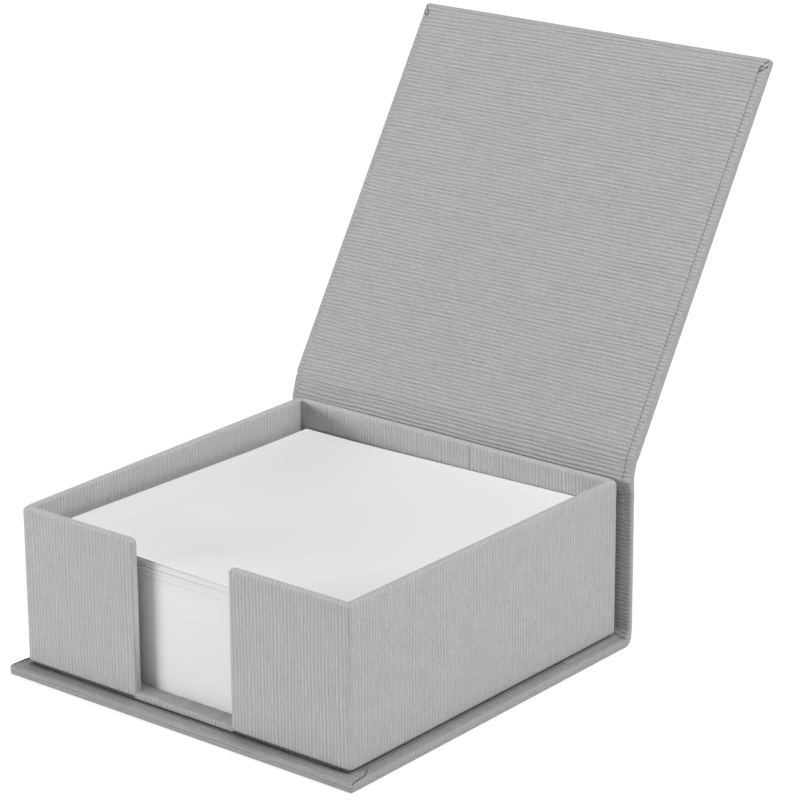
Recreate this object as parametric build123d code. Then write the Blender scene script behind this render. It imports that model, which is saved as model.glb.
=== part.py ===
from build123d import *
import os
from math import cos, radians, sin

os.makedirs("parts", exist_ok=True)

# Driving sizes, in millimetres and degrees
SHEET_SIZE = 90.0       # side of a square memo sheet
SHEET_THICK = 0.1
SHEET_COUNT = 300
LOOSE_COUNT = 6         # uneven sheets on top of the stack
SHEET_GAP = 1.5         # play between the sheets and the tray's inside
TRAY_BOARD = 1.5
TRAY_HEIGHT = 39.0      # outside, with its paper
NOTCH_WIDTH = 28.6      # finger notch in the front wall, between its papered ends
FLANGE = 3.0            # how far the case stands out past the tray's sides
CASE_BOARD = 2.0        # base, spine and lid boards
PAPER = 0.2             # cover, wrap and lining papers
HINGE_WIDTH = 4.2       # bare cover paper between the spine and the lid
LID_LEAN = 32.0         # how far the open lid leans back from upright

# Named clearances and small sizes
SPINE_DROP = 0.4        # spine's top to the tray's rim
LID_INSET = 3.1         # closed lid's back edge to the spine's outer face
BOARD_SETBACK = 0.6     # spine and lid boards stop this short of the hinge
SHEETS_RIGHT = 0.3      # how far off the middle of the tray the stack lies
SHEETS_BACK = 1.2       # and towards its back wall
LOOSE_SLIP = 0.5        # about how far a loose sheet lies off the stack
LOOSE_TURN = 0.3        # and how far it is turned, in degrees
TURN_IN = 14.0          # paper turned over a board's edge onto its other face
LINER_INSET = 2.0       # lining stops this short of the case's edges
LINER_FLAP = 20.5       # lining turned forward onto the base
SILL_FLAP = 12.0        # wrap turned over the notch sill onto the floor
EDGE_ROUND = 0.55       # on the boards' edges
CORNER_ROUND = 0.8      # on the boards' corners
SEAM = 0.12             # width of a butted or mitred seam
SEAM_X = 6.5            # where the wrap's ends meet inside the back wall
SEAM_MARGIN = 1.0       # that seam's upper end to the rim
LID_MITRE = 29.0        # angle of the lid's corner seams to the side edges
BASE_MITRE = 10.0       # angle of the base's corner seams to the side edges
STAY_THICK = 0.15
STAY_LEG = 12.0
STAY_MARGIN = 3.0       # stay to the floor and to the rim
NEAR = 0.01             # places closer than this count as one

# Sizes that follow from these
TRAY_IN = SHEET_SIZE + 2 * SHEET_GAP
TRAY_OUT = TRAY_IN + 2 * (TRAY_BOARD + 2 * PAPER)
CASE_WIDTH = TRAY_OUT + 2 * FLANGE
CASE_THICK = CASE_BOARD + 2 * PAPER
SPINE_THICK = CASE_THICK + PAPER
CASE_DEPTH = CASE_WIDTH             # the case is square
HALF_W = CASE_WIDTH / 2
HALF_D = CASE_DEPTH / 2
HALF_LINER = HALF_W - LINER_INSET
HALF_WINDOW = HALF_W - TURN_IN
JOINT_Y = HALF_D - CASE_THICK       # back edge of the base board
FOLD_Y = HALF_D - PAPER             # inner side of the cover paper on the spine
TRAY_Z = CASE_THICK + PAPER
TRAY_Y = HALF_D - SPINE_THICK - TRAY_OUT / 2
RIM_Z = TRAY_Z + TRAY_HEIGHT
STACK_Z = TRAY_Z + TRAY_BOARD + 2 * PAPER
LOOSE_Z = STACK_Z + (SHEET_COUNT - LOOSE_COUNT) * SHEET_THICK
FOLD_Z = RIM_Z - SPINE_DROP         # the hinge begins here
SPINE_TOP = FOLD_Z - BOARD_SETBACK
LID_LENGTH = CASE_DEPTH - LID_INSET


def block(x0, x1, y0, y1, z0, z1):
    middle = Pos((x0 + x1) / 2, (y0 + y1) / 2, (z0 + z1) / 2)
    return middle * Box(x1 - x0, y1 - y0, z1 - z0)


def centred(half_x, y0, y1, z0, z1):
    return block(-half_x, half_x, y0, y1, z0, z1)


# A covered board lies flat in these three functions: its fold edge at y = 0, its free edge
# at y = length, its outer face at z = 0


def rounded_slab(half_x, y0, y1, z0, z1, grow):
    slab = centred(half_x, y0, y1, z0, z1)
    slab = fillet(slab.edges().filter_by(Axis.Z).group_by(Axis.Y)[-1], CORNER_ROUND + grow)
    faces = slab.faces().sort_by(Axis.Z)
    rims = faces[0].edges() + faces[-1].edges()
    free = [edge for edge in rims if edge.center().Y > y0 + NEAR]
    return fillet(free, EDGE_ROUND + grow)


def panel_board(length, setback):
    return rounded_slab(HALF_W - PAPER, setback, length - PAPER, PAPER, PAPER + CASE_BOARD, 0)


def panel_cover(length, mitre):
    inner = PAPER + CASE_BOARD
    cover = rounded_slab(HALF_W, 0, length, 0, CASE_THICK, PAPER)
    cover -= panel_board(length, 0)
    cover -= centred(HALF_WINDOW, 0, length - TURN_IN, inner, CASE_THICK)
    reach = TURN_IN / cos(radians(mitre))
    for side in (-1, 1):
        slit = block(-SEAM / 2, SEAM / 2, -reach, -CORNER_ROUND, inner, CASE_THICK)
        cover -= Pos(side * HALF_W, length, 0) * Rot(0, 0, -side * mitre) * slit
    return cover


# The hinge leans back half as far as the lid
HINGE_BACK = HINGE_WIDTH * sin(radians(LID_LEAN / 2))
HINGE_RISE = HINGE_WIDTH * cos(radians(LID_LEAN / 2))
BASE_PLACE = Pos(0, JOINT_Y, 0) * Rot(0, 0, 180)
LID_PLACE = Pos(0, HALF_D + HINGE_BACK, FOLD_Z + HINGE_RISE) * Rot(90 - LID_LEAN, 0, 0)


# The case: base, spine, hinge and lid


def base_board():
    return BASE_PLACE * panel_board(JOINT_Y + HALF_D, 0)


def base_cover_paper():
    return BASE_PLACE * panel_cover(JOINT_Y + HALF_D, BASE_MITRE)


def upright_slab(half_x, y0, y1, z0, z1, grow):
    slab = centred(half_x, y0, y1, z0, z1)
    return fillet(slab.edges().filter_by(Axis.Z), EDGE_ROUND + grow)


def spine_core(top):
    return upright_slab(HALF_W - PAPER, JOINT_Y + PAPER, FOLD_Y, CASE_THICK, top, 0)


def spine_board():
    return spine_core(SPINE_TOP)


def joint_bend(half_x, outer, inner):
    ring = Cylinder(outer, 2 * half_x) - Cylinder(inner, 2 * half_x)
    ring = Pos(0, JOINT_Y, CASE_THICK) * Rot(0, 90, 0) * ring
    return ring & centred(half_x, JOINT_Y, HALF_D, 0, CASE_THICK)


def spine_cover_paper():
    cover = upright_slab(HALF_W, JOINT_Y, HALF_D, CASE_THICK, FOLD_Z, PAPER)
    cover -= spine_core(FOLD_Z)
    cover -= centred(HALF_WINDOW, JOINT_Y, JOINT_Y + PAPER, CASE_THICK, FOLD_Z)
    bend = joint_bend(HALF_W, CASE_THICK, CASE_THICK - 2 * PAPER)
    bend -= joint_bend(HALF_WINDOW, CASE_THICK - PAPER, CASE_THICK - 3 * PAPER)
    return cover + bend


def spine_liner_paper():
    face = JOINT_Y - PAPER
    end = JOINT_Y - LINER_FLAP
    liner = centred(HALF_LINER, face, JOINT_Y, CASE_THICK, FOLD_Z)
    liner += centred(HALF_WINDOW, JOINT_Y, JOINT_Y + PAPER, CASE_THICK, FOLD_Z)
    liner += centred(HALF_LINER, end, JOINT_Y, CASE_THICK, TRAY_Z)
    liner += centred(HALF_WINDOW, end, JOINT_Y, CASE_THICK - PAPER, CASE_THICK)
    return liner


# The hinge is hollow: its papers run straight from the spine's section to the lid's section


def hinge_prism(half_x, near, far, rounding):
    size = (2 * half_x, far - near)
    section = RectangleRounded(*size, rounding) if rounding else Rectangle(*size)
    middle = (near + far) / 2
    low = Pos(0, HALF_D - middle, FOLD_Z) * section
    high = LID_PLACE * Pos(0, 0, middle) * Rot(-90, 0, 0) * section
    return loft([low.face(), high.face()], ruled=True)


def hinge_cover_strip():
    inner = PAPER + CASE_BOARD
    strip = hinge_prism(HALF_W, 0, CASE_THICK, EDGE_ROUND + PAPER)
    strip -= hinge_prism(HALF_W - PAPER, PAPER, inner, EDGE_ROUND)
    return strip - hinge_prism(HALF_WINDOW, inner, CASE_THICK, 0)


def hinge_liner_strip():
    strip = hinge_prism(HALF_LINER, CASE_THICK, CASE_THICK + PAPER, 0)
    return strip + hinge_prism(HALF_WINDOW, PAPER + CASE_BOARD, CASE_THICK, 0)


def lid_board():
    return LID_PLACE * panel_board(LID_LENGTH, BOARD_SETBACK)


def lid_cover_paper():
    return LID_PLACE * panel_cover(LID_LENGTH, LID_MITRE)


def lid_liner_paper():
    inner = PAPER + CASE_BOARD
    liner = centred(HALF_LINER, 0, LID_LENGTH - LINER_INSET, CASE_THICK, CASE_THICK + PAPER)
    liner += centred(HALF_WINDOW, 0, LID_LENGTH - TURN_IN, inner, CASE_THICK)
    return LID_PLACE * liner


# The tray: its boards are pieces of one rounded form, and its paper is the skin between
# that form and the same form grown by the paper's thickness

TRAY_PLACE = Pos(0, TRAY_Y, TRAY_Z)
CORE_HALF = TRAY_OUT / 2 - PAPER
CORE_IN = CORE_HALF - TRAY_BOARD
CORE_FLOOR = PAPER + TRAY_BOARD
CORE_TOP = TRAY_HEIGHT - PAPER
CORE_NOTCH = NOTCH_WIDTH / 2 + PAPER


def tray_outside(grow):
    half = CORE_HALF + grow
    outside = centred(half, -half, half, PAPER - grow, CORE_TOP + grow)
    outside = fillet(outside.edges().filter_by(Axis.Z), CORNER_ROUND + grow)
    return fillet(outside.faces().sort_by(Axis.Z)[0].edges(), EDGE_ROUND + grow)


def tray_form(grow):
    half_in = CORE_IN - grow
    half_notch = CORE_NOTCH - grow
    floor = CORE_FLOOR + grow
    form = tray_outside(grow)
    form -= centred(half_in, -half_in, half_in, floor, TRAY_HEIGHT)
    form -= centred(half_notch, -TRAY_OUT, 0, floor, TRAY_HEIGHT)
    upright = form.edges().filter_by(Axis.Z)
    ends = [edge for edge in upright if abs(abs(edge.center().X) - half_notch) < NEAR]
    form = fillet(ends, EDGE_ROUND + grow)
    return fillet(form.faces().sort_by(Axis.Z)[-1].edges(), EDGE_ROUND + grow)


def corner_stays():
    low, high = CORE_FLOOR + STAY_MARGIN, CORE_TOP - STAY_MARGIN
    skin = tray_outside(0) - tray_outside(-STAY_THICK)
    stays = []
    for side_x in (-1, 1):
        for side_y in (-1, 1):
            corner = Pos(side_x * CORE_HALF, side_y * CORE_HALF, 0)
            zone = corner * centred(STAY_LEG, -STAY_LEG, STAY_LEG, low, high)
            stays.append((skin & zone).solid())
    return stays


TRAY_CORE = tray_form(0)
STAYS = corner_stays()


def tray_floor_board():
    return TRAY_PLACE * (TRAY_CORE & centred(TRAY_OUT, -TRAY_OUT, TRAY_OUT, 0, CORE_FLOOR))


def wall_board(x0, x1, y0, y1):
    wall = TRAY_CORE & block(x0, x1, y0, y1, CORE_FLOOR, TRAY_HEIGHT)
    for stay in STAYS:
        wall -= stay
    return TRAY_PLACE * wall


def tray_corner_stays():
    return Compound([TRAY_PLACE * stay for stay in STAYS])


def floor_lining():
    half = TRAY_IN / 2
    lining = centred(half, -half, half, CORE_FLOOR, CORE_FLOOR + PAPER)
    return lining - centred(NOTCH_WIDTH / 2, -half, -half + SILL_FLAP, 0, TRAY_HEIGHT)


def tray_floor_liner():
    return TRAY_PLACE * floor_lining()


def tray_wrap_paper():
    half = TRAY_OUT / 2 - TURN_IN
    wrap = tray_form(PAPER) - TRAY_CORE - floor_lining()
    wrap -= centred(half, -half, half, 0, PAPER)
    wrap -= block(SEAM_X - SEAM / 2, SEAM_X + SEAM / 2, 0, CORE_IN, CORE_FLOOR, CORE_TOP - SEAM_MARGIN)
    return TRAY_PLACE * wrap


# The sheets lie towards the back of the tray

SHEETS_PLACE = Pos(SHEETS_RIGHT, TRAY_Y + SHEETS_BACK, 0)


def memo_stack():
    half = SHEET_SIZE / 2
    return SHEETS_PLACE * centred(half, -half, half, STACK_Z, LOOSE_Z)


def loose_sheets():
    half = SHEET_SIZE / 2
    sheets = []
    for i in range(LOOSE_COUNT):
        low = LOOSE_Z + i * SHEET_THICK
        sheet = centred(half, -half, half, low, low + SHEET_THICK)
        right = LOOSE_SLIP * sin(2.1 * i + 0.4)
        forward = LOOSE_SLIP * (1 + sin(1.7 * i + 3.9) / 2)
        turn = LOOSE_TURN * sin(2.9 * i + 1.0)
        sheet = SHEETS_PLACE * Pos(right, -forward, 0) * Rot(0, 0, turn) * sheet
        sheets.append(sheet.solid())
    return Compound(sheets)


PARTS = {
    "base_board": base_board(),
    "base_cover_paper": base_cover_paper(),
    "spine_board": spine_board(),
    "spine_cover_paper": spine_cover_paper(),
    "spine_liner_paper": spine_liner_paper(),
    "hinge_cover_strip": hinge_cover_strip(),
    "hinge_liner_strip": hinge_liner_strip(),
    "lid_board": lid_board(),
    "lid_cover_paper": lid_cover_paper(),
    "lid_liner_paper": lid_liner_paper(),
    "tray_floor_board": tray_floor_board(),
    "tray_left_wall_board": wall_board(-TRAY_OUT, -CORE_IN, -TRAY_OUT, TRAY_OUT),
    "tray_right_wall_board": wall_board(CORE_IN, TRAY_OUT, -TRAY_OUT, TRAY_OUT),
    "tray_back_wall_board": wall_board(-CORE_IN, CORE_IN, 0, TRAY_OUT),
    "tray_front_left_wall_board": wall_board(-CORE_IN, 0, -TRAY_OUT, 0),
    "tray_front_right_wall_board": wall_board(0, CORE_IN, -TRAY_OUT, 0),
    "tray_corner_stays": tray_corner_stays(),
    "tray_wrap_paper": tray_wrap_paper(),
    "tray_floor_liner": tray_floor_liner(),
    "memo_stack": memo_stack(),
    "loose_sheets": loose_sheets(),
}

for name, shape in PARTS.items():
    export_step(shape, f"parts/{name}.step")
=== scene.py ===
from math import atan2, cos, pi, radians, sin

import bmesh
import bpy
import numpy as np
from mathutils import Matrix, Vector


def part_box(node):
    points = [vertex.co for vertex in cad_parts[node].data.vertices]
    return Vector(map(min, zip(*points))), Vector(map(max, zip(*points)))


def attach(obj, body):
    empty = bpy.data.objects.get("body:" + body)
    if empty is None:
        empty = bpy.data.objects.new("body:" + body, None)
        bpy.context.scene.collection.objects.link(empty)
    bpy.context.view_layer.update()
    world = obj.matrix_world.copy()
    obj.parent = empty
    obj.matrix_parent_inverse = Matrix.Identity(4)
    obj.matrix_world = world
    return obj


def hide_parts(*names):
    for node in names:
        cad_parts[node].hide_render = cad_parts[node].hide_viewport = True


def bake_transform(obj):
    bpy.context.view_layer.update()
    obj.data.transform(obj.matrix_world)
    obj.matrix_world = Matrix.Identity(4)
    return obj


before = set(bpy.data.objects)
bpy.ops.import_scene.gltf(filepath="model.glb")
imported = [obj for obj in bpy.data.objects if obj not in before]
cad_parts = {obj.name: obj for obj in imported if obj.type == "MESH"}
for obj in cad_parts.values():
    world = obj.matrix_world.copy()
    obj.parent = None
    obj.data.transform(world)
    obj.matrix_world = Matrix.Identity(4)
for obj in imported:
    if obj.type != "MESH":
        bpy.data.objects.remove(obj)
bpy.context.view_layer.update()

# Sizes of the papers, in metres
MM = 0.001
WELD = 0.002 * MM               # points nearer to each other than this are one
PAPER = 0.2 * MM
EDGE_RADIUS = 0.75 * MM         # of a papered board's edges
CORNER_RADIUS = 1.0 * MM        # of the tray's upright corners, outside
INNER_RADIUS = 0.15 * MM        # and inside
END_RADIUS = 0.45 * MM          # of the wall ends at the notch
FOOT_RADIUS = 1.05 * MM         # of the tray's lower edge
FOOT_GAP = 0.1 * MM             # between that edge and the base
LINER_INSET = 2.0 * MM          # from the case's edges to the lining
LINER_FLAP = 20.5 * MM          # lining turned forward onto the base
FLAP_PRESSED = 0.25             # ribs left on that flap, which is pressed onto the base
FLAP_SUNK = 0.2 * MM
SILL_FLAP = 12.0 * MM           # wrap turned over the sill onto the floor
SILL_RADIUS = 0.7 * MM
LID_LENGTH = 99.7 * MM
LID_LEAN = radians(32.0)
PINCH = 0.5 * MM                # the hinge's ends draw in where no board holds them out
PINCH_RIGHT = 0.3               # share of that at the right end
PINCH_LENGTH = 1.3 * MM
SEAM_X = 6.5 * MM               # the wrap's butted ends, inside the back wall
SEAM_DEPTH = 0.14 * MM
SEAM_WIDTH = 0.26 * MM
SHADE_FROM = -1.4                 # rib heights below this mark gaps and shaded places, and are painted darker as their shade
# painted shade in the tray's inside corners
CORNER_SHADE = -2.5
# the darkest painted shade, in the wrap's seam and under the tray's turned-under foot
DEEPEST_SHADE = -4.0
HOLLOW = 0.3 * MM               # from a papered surface in to the hollow for the board
HOLLOW_RINGS = 25

# The ribs of the paper
RIB_PITCH = 0.97 * MM
RIB_HEIGHT = 0.095 * MM         # from the middle of the paper to a crest
RIB_STEP = RIB_PITCH / 6
LONG_STEP = 4.0 * MM            # mesh step along a rib
MARGIN_STEP = 0.4 * MM          # and near the edges of the case
MARGIN = 3.2 * MM
TURN_STEPS = 4                  # mesh steps round a quarter of an edge
FADE = 0.4 * MM                 # ribs are pressed flat this near to a fold
EDGE_PRESSED = 0.8              # and this much round the edges of the case

# Places, from the frame
wrap_low, wrap_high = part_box("tray_wrap_paper")
base_low, base_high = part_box("base_cover_paper")
spine_low, spine_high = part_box("spine_cover_paper")
TRAY_HALF = wrap_high.x
TRAY_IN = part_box("tray_floor_liner")[1].x
TRAY_Y = (wrap_low.y + wrap_high.y) / 2
TRAY_Z, RIM_Z = wrap_low.z, wrap_high.z
WALL = TRAY_HALF - TRAY_IN
FLOOR_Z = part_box("tray_floor_liner")[1].z
NOTCH_HALF = -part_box("tray_front_left_wall_board")[1].x - PAPER
CASE_HALF = base_high.x
CASE_THICK = base_high.z
JOINT_Y, BACK_Y = spine_low.y, spine_high.y
FRONT_Y = base_low.y
FOLD_Z = spine_high.z
LID_CORNER = Vector((0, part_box("hinge_cover_strip")[1].y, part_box("lid_cover_paper")[0].z))
LID_ALONG = Vector((0, sin(LID_LEAN), cos(LID_LEAN)))
LID_INWARD = Vector((0, -cos(LID_LEAN), sin(LID_LEAN)))
LINER_HALF = CASE_HALF - LINER_INSET


# Shapes are gathered as points and faces, then made into meshes

SMOOTH, FLAT, CUT = range(3)


class Shape:
    """Points, rib heights and faces of one piece."""

    def __init__(self):
        self.points, self.heights, self.faces, self.kinds = [], [], [], []
        self.hollow_from = None

    def add(self, points, heights=0.0):
        points = np.asarray(points, float)
        first = sum(len(p) for p in self.points)
        flat = points.reshape(-1, 3)
        self.points.append(flat)
        self.heights.append(np.broadcast_to(heights, points.shape[:-1]).reshape(-1))
        return np.arange(first, first + len(flat)).reshape(points.shape[:-1])

    def face(self, corners, kind):
        self.faces.append([int(c) for c in corners])
        self.kinds.append(kind)

    def grid(self, index, kind):
        for low, high in zip(index[:-1], index[1:]):
            for j in range(index.shape[1] - 1):
                self.face((low[j], low[j + 1], high[j + 1], high[j]), kind)

    def tube(self, rings):
        """A closed tube through rings of four corners."""
        index = self.add(rings)
        self.face(index[0], FLAT)
        self.face(index[-1], FLAT)
        for low, high in zip(index[:-1], index[1:]):
            for i in range(4):
                k = (i + 1) % 4
                self.face((low[i], low[k], high[k], high[i]), FLAT)

    def hollow(self, rings):
        """A tube cut out of the piece. Hollows come after all its other faces."""
        if self.hollow_from is None:
            self.hollow_from = len(self.faces)
        self.tube(rings)


def make_mesh(name, shape, materials):
    """A closed mesh. Hollows are turned inwards, and edges from smooth to flat faces are sharp."""
    mesh = bpy.data.meshes.new(name)
    mesh.from_pydata(np.concatenate(shape.points).tolist(), [], shape.faces)
    # The rib attribute holds rib heights, and where they are lowest it also carries painted shade
    attribute = mesh.attributes.new("rib", "FLOAT", "POINT")
    attribute.data.foreach_set("value", np.concatenate(shape.heights).astype(np.float32))
    for material in materials:
        mesh.materials.append(material)
    for polygon, kind in zip(mesh.polygons, shape.kinds):
        polygon.use_smooth = kind == SMOOTH
        polygon.material_index = int(kind == CUT and len(materials) > 1)
    tidy = bmesh.new()
    tidy.from_mesh(mesh)
    tidy.faces.ensure_lookup_table()
    split = len(tidy.faces) if shape.hollow_from is None else shape.hollow_from
    outer, inner = tidy.faces[:split], tidy.faces[split:]
    bmesh.ops.remove_doubles(tidy, verts=tidy.verts, dist=WELD)
    bmesh.ops.recalc_face_normals(tidy, faces=[f for f in outer if f.is_valid])
    bmesh.ops.recalc_face_normals(tidy, faces=inner)
    bmesh.ops.reverse_faces(tidy, faces=inner)
    for edge in tidy.edges:
        edge.smooth = len({face.smooth for face in edge.link_faces}) == 1
    tidy.to_mesh(mesh)
    tidy.free()
    piece = bpy.data.objects.new(name, mesh)
    bpy.context.scene.collection.objects.link(piece)
    return piece


# Paths: rows of (a, b, normal a, normal b) in the plane of a section


def run(start, end, normal, step):
    start, end = np.array(start), np.array(end)
    count = max(1, round(np.linalg.norm(end - start) / step))
    along = np.linspace(0, 1, count + 1)[:, None]
    at = start + (end - start) * along
    return np.hstack([at, np.broadcast_to(normal, at.shape)])


def turn(centre, radius, first, last):
    angles = np.radians(np.linspace(first, last, TURN_STEPS + 1))
    normal = np.stack([np.cos(angles), np.sin(angles)], 1)
    return np.hstack([np.array(centre) + radius * normal, normal])


def join(*parts):
    return np.vstack([parts[0]] + [part[1:] for part in parts[1:]])


def lengths(path):
    steps = np.linalg.norm(np.diff(path[:, :2], axis=0), axis=1)
    return np.concatenate([[0.0], np.cumsum(steps)])


# The ribs

STRAY_SLOW = 0.10               # how far a rib strays along its length, in millimetres
STRAY_QUICK = 0.07
STRAY_ACROSS = 0.12             # and how far ribs stray from an even spacing
UNEVEN = 0.18                   # how much ribs differ in height
GROOVE_POWER = 1.5              # above 1, grooves are narrower than crests


def ribs(across, along, seed):
    """Height of the ribbed paper, from -1 in a groove to 1 on a crest."""
    a, l = across / MM, along / MM
    # Waves whose lengths, in millimetres, have no common measure
    slow = np.sin(l / 9.0 + a / 5.3 + seed)
    quick = np.sin(l / 3.7 - a / 2.9 + 2.0 * seed)
    spaced = np.sin(a / 1.9 + seed) * np.sin(a / 0.83 + 1.0)
    high = np.sin(a / 0.71 + 0.9 * np.sin(l / 6.1) + seed)
    stray = STRAY_SLOW * slow + STRAY_QUICK * quick + STRAY_ACROSS * spaced
    groove = 0.5 + 0.5 * np.cos(2 * pi * (a + stray) * MM / RIB_PITCH + seed)
    return (1 - 2 * groove ** GROOVE_POWER) * (1 - UNEVEN + UNEVEN * high)


def near_fold(u, folds):
    """From 0 at a fold to 1 away from it."""
    reach = np.ones_like(u)
    for fold in folds:
        reach = reach * np.clip(np.abs(u - fold) / FADE, 0, 1)
    return reach


# Papered boards: lid, base, spine and hinge


def case_columns():
    """(x, angle round the side edge, side) of the columns across the case."""
    edge = CASE_HALF - EDGE_RADIUS
    margin = np.linspace(edge, edge - MARGIN, round(MARGIN / MARGIN_STEP) + 1)
    middle = edge - MARGIN
    wide = np.linspace(-middle, middle, round(2 * middle / LONG_STEP) + 1)
    flat = np.concatenate([-margin, wide[1:-1], margin[::-1]])
    angles = np.linspace(0, pi / 2, TURN_STEPS + 1)[1:]
    x = np.concatenate([np.full(TURN_STEPS, -edge), flat, np.full(TURN_STEPS, edge)])
    angle = np.concatenate([angles[::-1], np.zeros(len(flat)), angles])
    return x, angle, np.sign(x)


def papered_board(path, place, seed, folds=(), flat_after=(), sink=0.0, pinch=0.0):
    """A board's paper with ribs along X. The path runs along one face and back along the other."""
    shape = Shape()
    u = lengths(path)
    x, angle, side = case_columns()
    # Sinking lowers the rib heights as the material reads them, which paints the paper darker as
    # shade
    height = RIB_HEIGHT * (ribs(u[:, None], x[None, :], seed) - sink)
    height = height * near_fold(u, folds)[:, None] * (1 - EDGE_PRESSED * np.sin(angle))
    core = path[:, :2] - EDGE_RADIUS * path[:, 2:]
    reach = EDGE_RADIUS + height
    section = core[:, None, :] + (reach * np.cos(angle))[:, :, None] * path[:, None, 2:]
    across = x + side * reach * np.sin(angle)
    drawn_in = np.reshape(pinch, (-1, 1)) * np.where(side < 0, 1.0, PINCH_RIGHT)
    across = across * (1 - drawn_in / CASE_HALF)
    index = shape.add(place(across, section[..., 0], section[..., 1]), height / RIB_HEIGHT)
    last = len(path) - 1
    for i in range(last):
        shape.grid(index[i:i + 2], FLAT if i in flat_after else SMOOTH)
    shape.grid(index[[last, 0]], FLAT)
    for i in range((last + 1) // 2):
        low, high = last - i, last - i - 1
        if high > i:
            for column in (0, -1):
                ends = (i, i + 1, high, low) if high > i + 1 else (i, i + 1, low)
                shape.face([index[k, column] for k in ends], SMOOTH)
    return shape


def board_hollow(shape, section, place):
    """A hollow for the board, from four points of its section."""
    a, b = np.array(section).T
    half = CASE_HALF - HOLLOW
    columns = np.linspace(-half, half, HOLLOW_RINGS)
    shape.hollow(np.stack([place(np.full(4, x), a, b) for x in columns]))


def panel_path(length):
    r, t = EDGE_RADIUS, CASE_THICK
    return join(
        run((0, 0), (length - r, 0), (0, -1), RIB_STEP),
        turn((length - r, r), r, -90, 0),
        run((length, r), (length, t - r), (1, 0), RIB_STEP),
        turn((length - r, t - r), r, 0, 90),
        run((length - r, t), (0, t), (0, 1), RIB_STEP),
    )


def panel_hollow(shape, length, place):
    low, high = HOLLOW, CASE_THICK - HOLLOW
    section = [(low, low), (length - HOLLOW, low), (length - HOLLOW, high), (low, high)]
    board_hollow(shape, section, place)


def lid_place(x, a, b):
    x, a, b = np.broadcast_arrays(x, a, b)
    section = a[..., None] * np.array(LID_ALONG) + b[..., None] * np.array(LID_INWARD)
    return np.array(LID_CORNER) + section + np.stack([x, 0 * x, 0 * x], -1)


def base_place(x, a, b):
    x, a, b = np.broadcast_arrays(x, a, b)
    return np.stack([x, JOINT_Y - a, b], -1)


def upright_place(x, y, z):
    return np.stack(np.broadcast_arrays(x, y, z), -1)


def make_lid_cover(material):
    path = panel_path(LID_LENGTH)
    ends = (0.0, lengths(path)[-1])
    pinch = PINCH * np.clip(1 - path[:, 0] / PINCH_LENGTH, 0, 1) ** 2
    shape = papered_board(path, lid_place, seed=0.7, folds=ends, pinch=pinch)
    panel_hollow(shape, LID_LENGTH, lid_place)
    return make_mesh("lid_cover_ribbed", shape, [material])


def make_base_cover(material):
    length = JOINT_Y - FRONT_Y
    # The sunk ribs paint the base's paper darker: painted shade
    shape = papered_board(panel_path(length), base_place, seed=2.1, sink=1.0)
    panel_hollow(shape, length, base_place)
    return make_mesh("base_cover_ribbed", shape, [material])


STAND_BACK = 1.0 * MM           # the spine's inner face stands this far off the tray at the right
STAND_FROM = -0.5               # from nothing here, in halves of the case's width
STAND_TO = 0.9                  # to all of it here
STAND_TOP = 3.0 * MM            # it is full this far down from the hinge
STAND_FOOT = 2.0 * MM           # and this far up from the base


def stand_back(points):
    """Points of the spine, whose inner face has come away from the tray."""
    points = np.array(points, float)
    x, y, z = points[..., 0], points[..., 1], points[..., 2]
    right = np.clip((x / CASE_HALF - STAND_FROM) / (STAND_TO - STAND_FROM), 0, 1)
    below = np.clip((FOLD_Z - z) / STAND_TOP, 0, 1)
    above = np.clip((z - CASE_THICK) / STAND_FOOT, 0, 1)
    inner = np.clip((BACK_Y - y) / (BACK_Y - JOINT_Y), 0, 1)
    points[..., 1] = y + STAND_BACK * right * below * above * inner
    return points


def spine_place(x, y, z):
    return stand_back(upright_place(x, y, z))


def make_spine_cover(material):
    path = np.vstack([
        run((BACK_Y, CASE_THICK), (BACK_Y, FOLD_Z), (1, 0), RIB_STEP),
        run((JOINT_Y, FOLD_Z), (JOINT_Y, CASE_THICK), (-1, 0), RIB_STEP),
    ])
    half = len(path) // 2
    u = lengths(path)
    folds = (0.0, u[half - 1], u[half], u[-1])
    shape = papered_board(path, spine_place, seed=3.3, folds=folds, flat_after=(half - 1,))
    low, high = JOINT_Y + HOLLOW, BACK_Y - HOLLOW
    foot, top = CASE_THICK + STAND_FOOT, FOLD_Z - STAND_TOP
    board_hollow(shape, [(low, foot), (high, foot), (high, top), (low, top)], spine_place)
    return make_mesh("spine_cover_ribbed", shape, [material])


def make_hinge_cover(material):
    corner, inward = np.array(LID_CORNER)[1:], np.array(LID_INWARD)[1:]
    low_out, low_in = np.array((BACK_Y, FOLD_Z)), np.array((JOINT_Y, FOLD_Z))
    high_out, high_in = corner, corner + CASE_THICK * inward
    lean = atan2(high_out[0] - low_out[0], high_out[1] - low_out[1])
    out = np.array((cos(lean), -sin(lean)))
    outer = run(low_out, high_out, out, RIB_STEP)
    inner = run(high_in, low_in, -out, np.linalg.norm(high_in - low_in) / (len(outer) - 1))
    path = np.vstack([outer, inner])
    u = lengths(path)
    half = len(outer)
    folds = (0.0, u[half - 1], u[half], u[-1])
    pinch = PINCH * np.clip((path[:, 1] - FOLD_Z) / PINCH_LENGTH, 0, 1)
    shape = papered_board(
        path, upright_place, seed=4.9, folds=folds, flat_after=(half - 1,), pinch=pinch)
    gap = HOLLOW * out
    rise = np.array((0, HOLLOW))
    section = [
        low_in + gap + rise,
        low_out - gap + rise,
        high_out - gap - rise,
        high_in + gap - rise,
    ]
    board_hollow(shape, section, upright_place)
    piece = make_mesh("hinge_cover_ribbed", shape, [material])
    return piece, low_out, high_out


BEND_CORE = 0.05 * MM           # inner radius of the bend round the lower back edge
BEND_SEED = 5.5


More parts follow.
